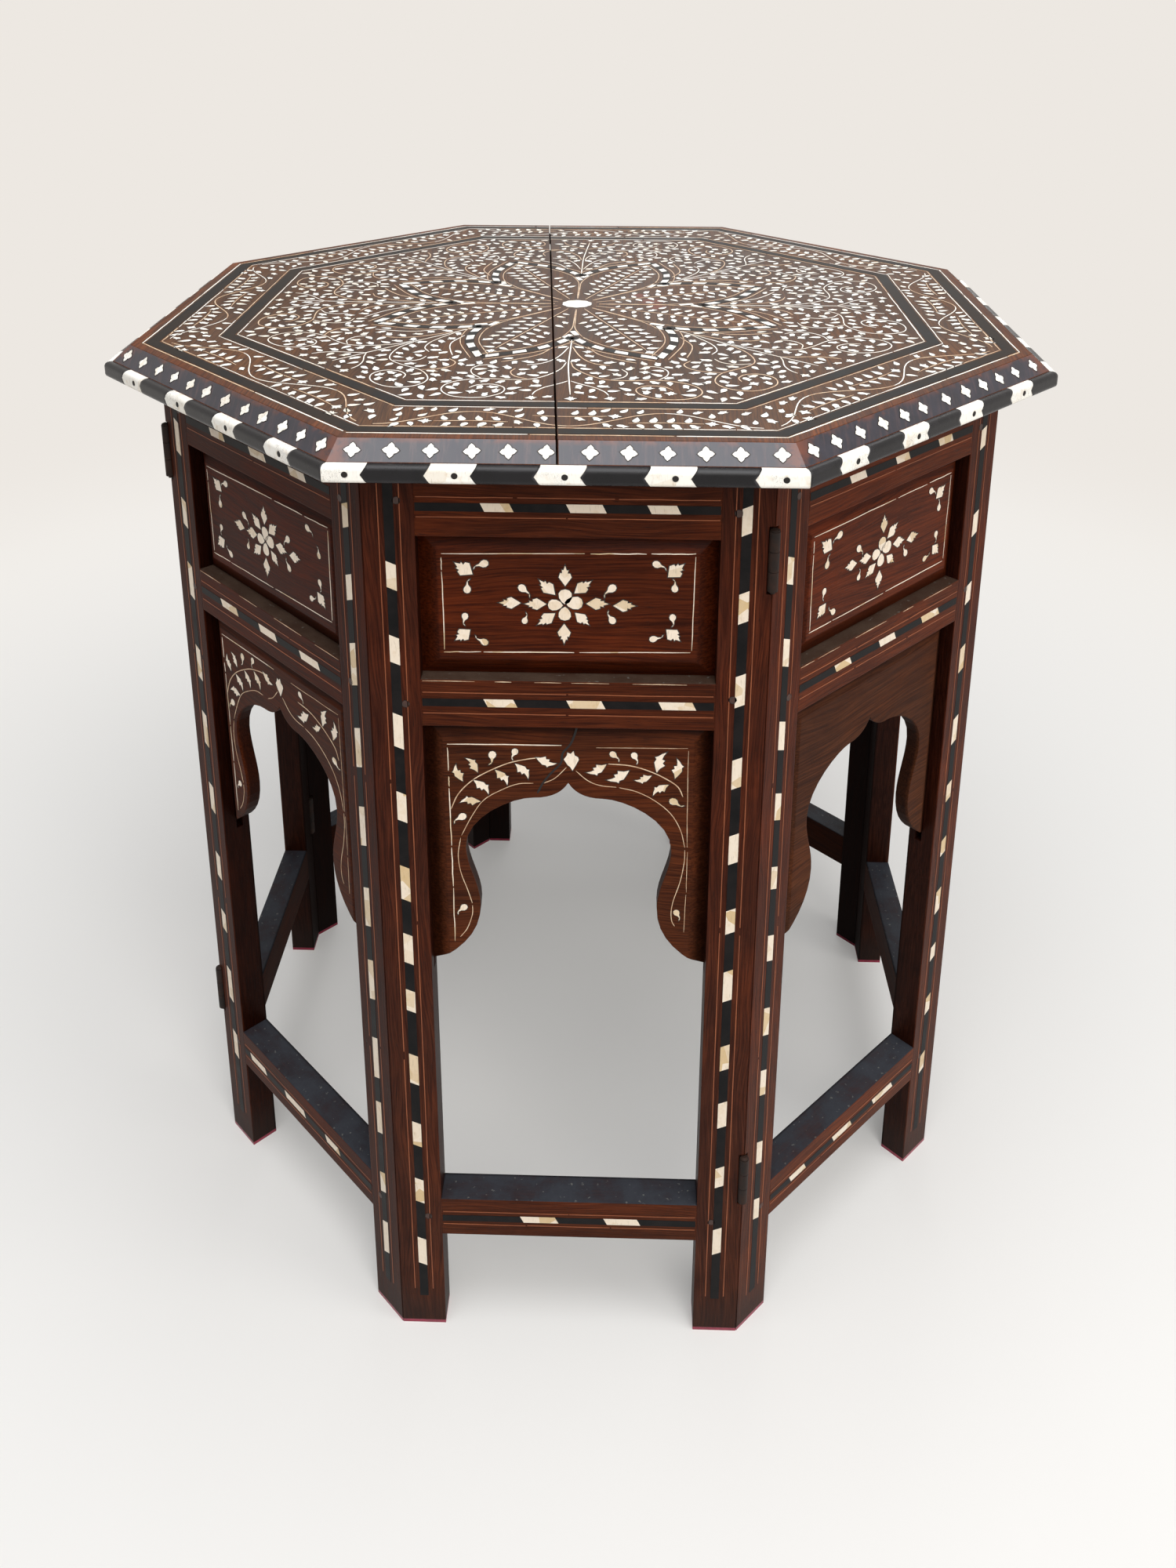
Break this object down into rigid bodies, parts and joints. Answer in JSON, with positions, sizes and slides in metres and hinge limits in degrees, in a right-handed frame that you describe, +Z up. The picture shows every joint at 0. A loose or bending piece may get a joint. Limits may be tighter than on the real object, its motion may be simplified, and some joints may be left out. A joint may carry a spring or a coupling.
{
  "type": "octagonal side table",
  "caption": "Octagonal wooden side table: a loose bevelled top with a pinned rim on a folding base of hinged frames with cusped arches.",
  "frame": {"origin": "on the floor, under the middle of the table", "axes": "+X right along the front, +Y to the back, +Z up"},
  "size_m": [0.61, 0.61, 0.6481],
  "materials": {
    "wood": "dark reddish brown rosewood, waxed and worn",
    "ebony": "near black, slightly blue, waxed",
    "bone": "cream bone, satin, slightly yellowed",
    "iron": "dark, oiled, slightly rusted",
    "felt": "crimson felt"
  },
  "bodies": {
    "front": {"front_stiles": "wood", "front_rails": "wood", "front_upper_panel": "wood", "front_arch_panel": "wood", "front_hinge_leaves": "iron", "front_felt_pads": "felt"},
    "front_right": {"front_right_stiles": "wood", "front_right_rails": "wood", "front_right_upper_panel": "wood", "front_right_arch_panel": "wood", "front_right_hinge_leaves": "iron", "front_right_felt_pads": "felt", "front_right_hinge_pins": "iron"},
    "right": {"right_stiles": "wood", "right_rails": "wood", "right_upper_panel": "wood", "right_arch_panel": "wood", "right_hinge_leaves": "iron", "right_felt_pads": "felt"},
    "back_right": {"back_right_stiles": "wood", "back_right_rails": "wood", "back_right_upper_panel": "wood", "back_right_arch_panel": "wood", "back_right_hinge_leaves": "iron", "back_right_felt_pads": "felt", "back_right_hinge_pins": "iron"},
    "back": {"back_stiles": "wood", "back_rails": "wood", "back_upper_panel": "wood", "back_arch_panel": "wood", "back_hinge_leaves": "iron", "back_felt_pads": "felt"},
    "back_left": {"back_left_stiles": "wood", "back_left_rails": "wood", "back_left_upper_panel": "wood", "back_left_arch_panel": "wood", "back_left_hinge_leaves": "iron", "back_left_felt_pads": "felt", "back_left_hinge_pins": "iron"},
    "left": {"left_stiles": "wood", "left_rails": "wood", "left_upper_panel": "wood", "left_arch_panel": "wood", "left_hinge_leaves": "iron", "left_felt_pads": "felt"},
    "front_left": {"front_left_stiles": "wood", "front_left_rails": "wood", "front_left_upper_panel": "wood", "front_left_arch_panel": "wood", "front_left_hinge_leaves": "iron", "front_left_felt_pads": "felt", "front_left_hinge_pins": "iron"},
    "top": {"top_board_left": "wood", "top_board_right": "wood", "top_battens": "wood", "batten_screws": "iron", "rim_ebony_blocks": "ebony", "rim_bone_blocks": "bone", "rim_pins": "ebony"}
  },
  "joints": [
    {"name": "top_lift", "type": "slide", "parent": "front", "child": "top", "axis": [0, 0, 1], "range_m": [0, 0.15]},
    {"name": "front_left_fold", "type": "hinge", "parent": "front", "child": "front_left", "pos_m": [-0.105, -0.2535, 0], "axis": [0, 0, -1], "range_deg": [0, 125]},
    {"name": "left_fold", "type": "hinge", "parent": "front_left", "child": "left", "pos_m": [-0.2735, -0.11329, 0], "axis": [0, 0, 1], "range_deg": [0, 208.34]},
    {"name": "back_left_fold", "type": "hinge", "parent": "left", "child": "back_left", "pos_m": [-0.2535, 0.105, 0], "axis": [0, 0, -1], "range_deg": [0, 125]},
    {"name": "front_right_fold", "type": "hinge", "parent": "front", "child": "front_right", "pos_m": [0.11329, -0.2735, 0], "axis": [0, 0, -1], "range_deg": [0, 41.67]},
    {"name": "right_fold", "type": "hinge", "parent": "front_right", "child": "right", "pos_m": [0.2535, -0.105, 0], "axis": [0, 0, 1], "range_deg": [0, 125]},
    {"name": "back_right_fold", "type": "hinge", "parent": "right", "child": "back_right", "pos_m": [0.2735, 0.11329, 0], "axis": [0, 0, -1], "range_deg": [0, 208.34]},
    {"name": "back_fold", "type": "hinge", "parent": "back_right", "child": "back", "pos_m": [0.105, 0.2535, 0], "axis": [0, 0, 1], "range_deg": [0, 125]}
  ],
  "couplings": [
    {"joint": "left_fold", "follows": "front_left_fold", "ratio": 1.6667},
    {"joint": "back_left_fold", "follows": "front_left_fold", "ratio": 1},
    {"joint": "front_right_fold", "follows": "front_left_fold", "ratio": 0.33333},
    {"joint": "right_fold", "follows": "front_left_fold", "ratio": 1},
    {"joint": "back_right_fold", "follows": "front_left_fold", "ratio": 1.6667},
    {"joint": "back_fold", "follows": "front_left_fold", "ratio": 1}
  ]
}
